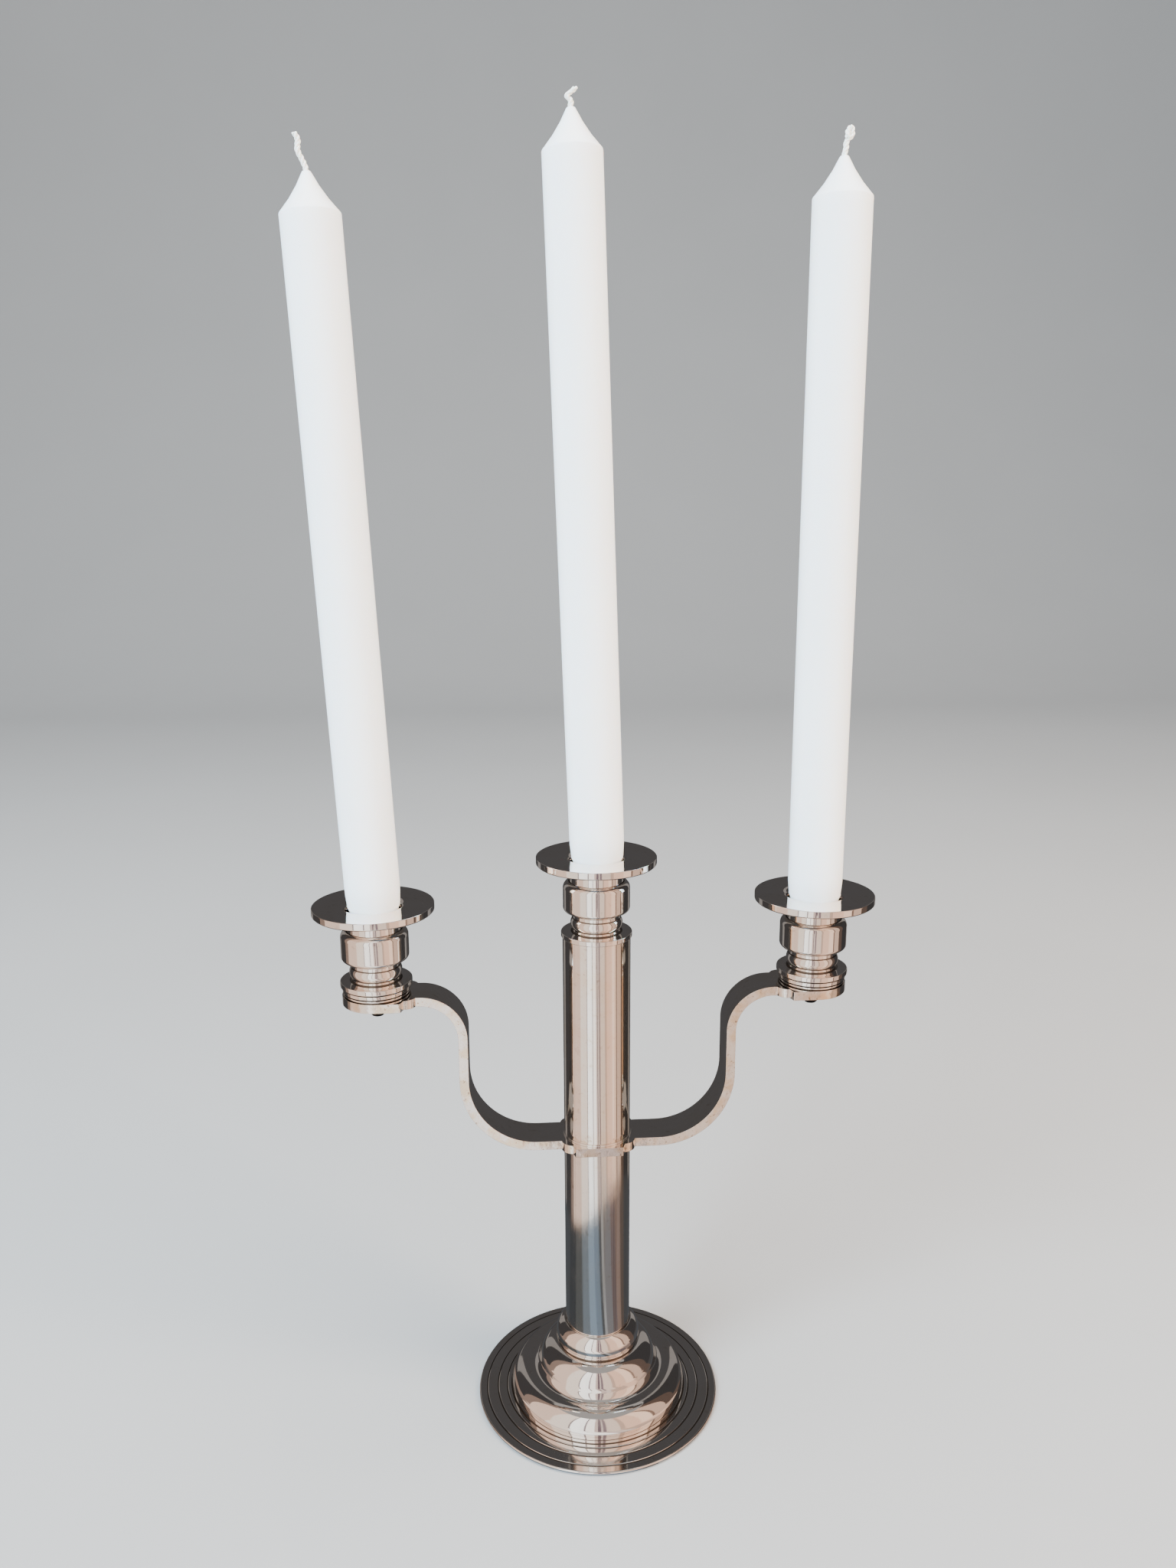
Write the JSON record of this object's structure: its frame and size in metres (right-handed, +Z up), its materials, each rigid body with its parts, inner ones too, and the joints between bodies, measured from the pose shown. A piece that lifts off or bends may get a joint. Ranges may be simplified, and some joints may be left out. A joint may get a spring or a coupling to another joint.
{
  "type": "tabletop candelabra",
  "caption": "Tabletop candelabra with a stepped round foot, tubular stem, S-curved branch bar, turned candle sockets, loose drip-pan nozzles and slim white dinner candles.",
  "frame": {"origin": "centre of the felt resting face, on the table", "axes": "+Z up along the stem, X along the branch bar with the socket named right at +X, -Y towards the front"},
  "size_m": [0.2294, 0.1058, 0.5286],
  "materials": {
    "silver_plate": "polished silver plate, lightly tarnished, fine handling scratches",
    "dark_steel": "darkened steel",
    "brass_bush": "turned, unpolished",
    "filler": "rough cast plaster",
    "felt": "dark green baize",
    "wax": "satin white wax",
    "wick_cotton": "waxed braided cotton"
  },
  "bodies": {
    "root": {"base_felt": "felt", "base_plate": "dark_steel", "base_weight": "filler", "base_shell": "silver_plate", "base_nut": "dark_steel", "base_washer": "dark_steel", "stem_collar": "silver_plate", "lower_tube": "silver_plate", "lower_tube_bush": "brass_bush", "seat_ring": "silver_plate", "upper_tube": "silver_plate", "upper_tube_bush": "brass_bush", "tie_rod": "dark_steel", "branch_bar": "silver_plate", "spacer_ring_left": "silver_plate", "dish_washer_left": "dark_steel", "screw_left": "dark_steel", "spacer_ring_right": "silver_plate", "dish_washer_right": "dark_steel", "screw_right": "dark_steel", "socket_left": "silver_plate", "socket_centre": "silver_plate", "socket_right": "silver_plate"},
    "nozzle_left_body": {"nozzle_left": "silver_plate"},
    "nozzle_centre_body": {"nozzle_centre": "silver_plate"},
    "nozzle_right_body": {"nozzle_right": "silver_plate"},
    "candle_left_body": {"candle_left": "wax", "wick_left": "wick_cotton"},
    "candle_centre_body": {"candle_centre": "wax", "wick_centre": "wick_cotton"},
    "candle_right_body": {"candle_right": "wax", "wick_right": "wick_cotton"}
  },
  "joints": [
    {"name": "nozzle_left_lift", "type": "slide", "parent": "root", "child": "nozzle_left_body", "axis": [0, 0, 1], "range_m": [0, 0.024]},
    {"name": "nozzle_centre_lift", "type": "slide", "parent": "root", "child": "nozzle_centre_body", "axis": [0, 0, 1], "range_m": [0, 0.024]},
    {"name": "nozzle_right_lift", "type": "slide", "parent": "root", "child": "nozzle_right_body", "axis": [0, 0, 1], "range_m": [0, 0.024]},
    {"name": "candle_left_lift", "type": "slide", "parent": "nozzle_left_body", "child": "candle_left_body", "axis": [-0.044, 0.0094, 0.999], "range_m": [0, 0.024]},
    {"name": "candle_centre_lift", "type": "slide", "parent": "nozzle_centre_body", "child": "candle_centre_body", "axis": [-0.0318, 0, 0.9995], "range_m": [0, 0.024]},
    {"name": "candle_right_lift", "type": "slide", "parent": "nozzle_right_body", "child": "candle_right_body", "axis": [0, 0, 1], "range_m": [0, 0.024]}
  ]
}
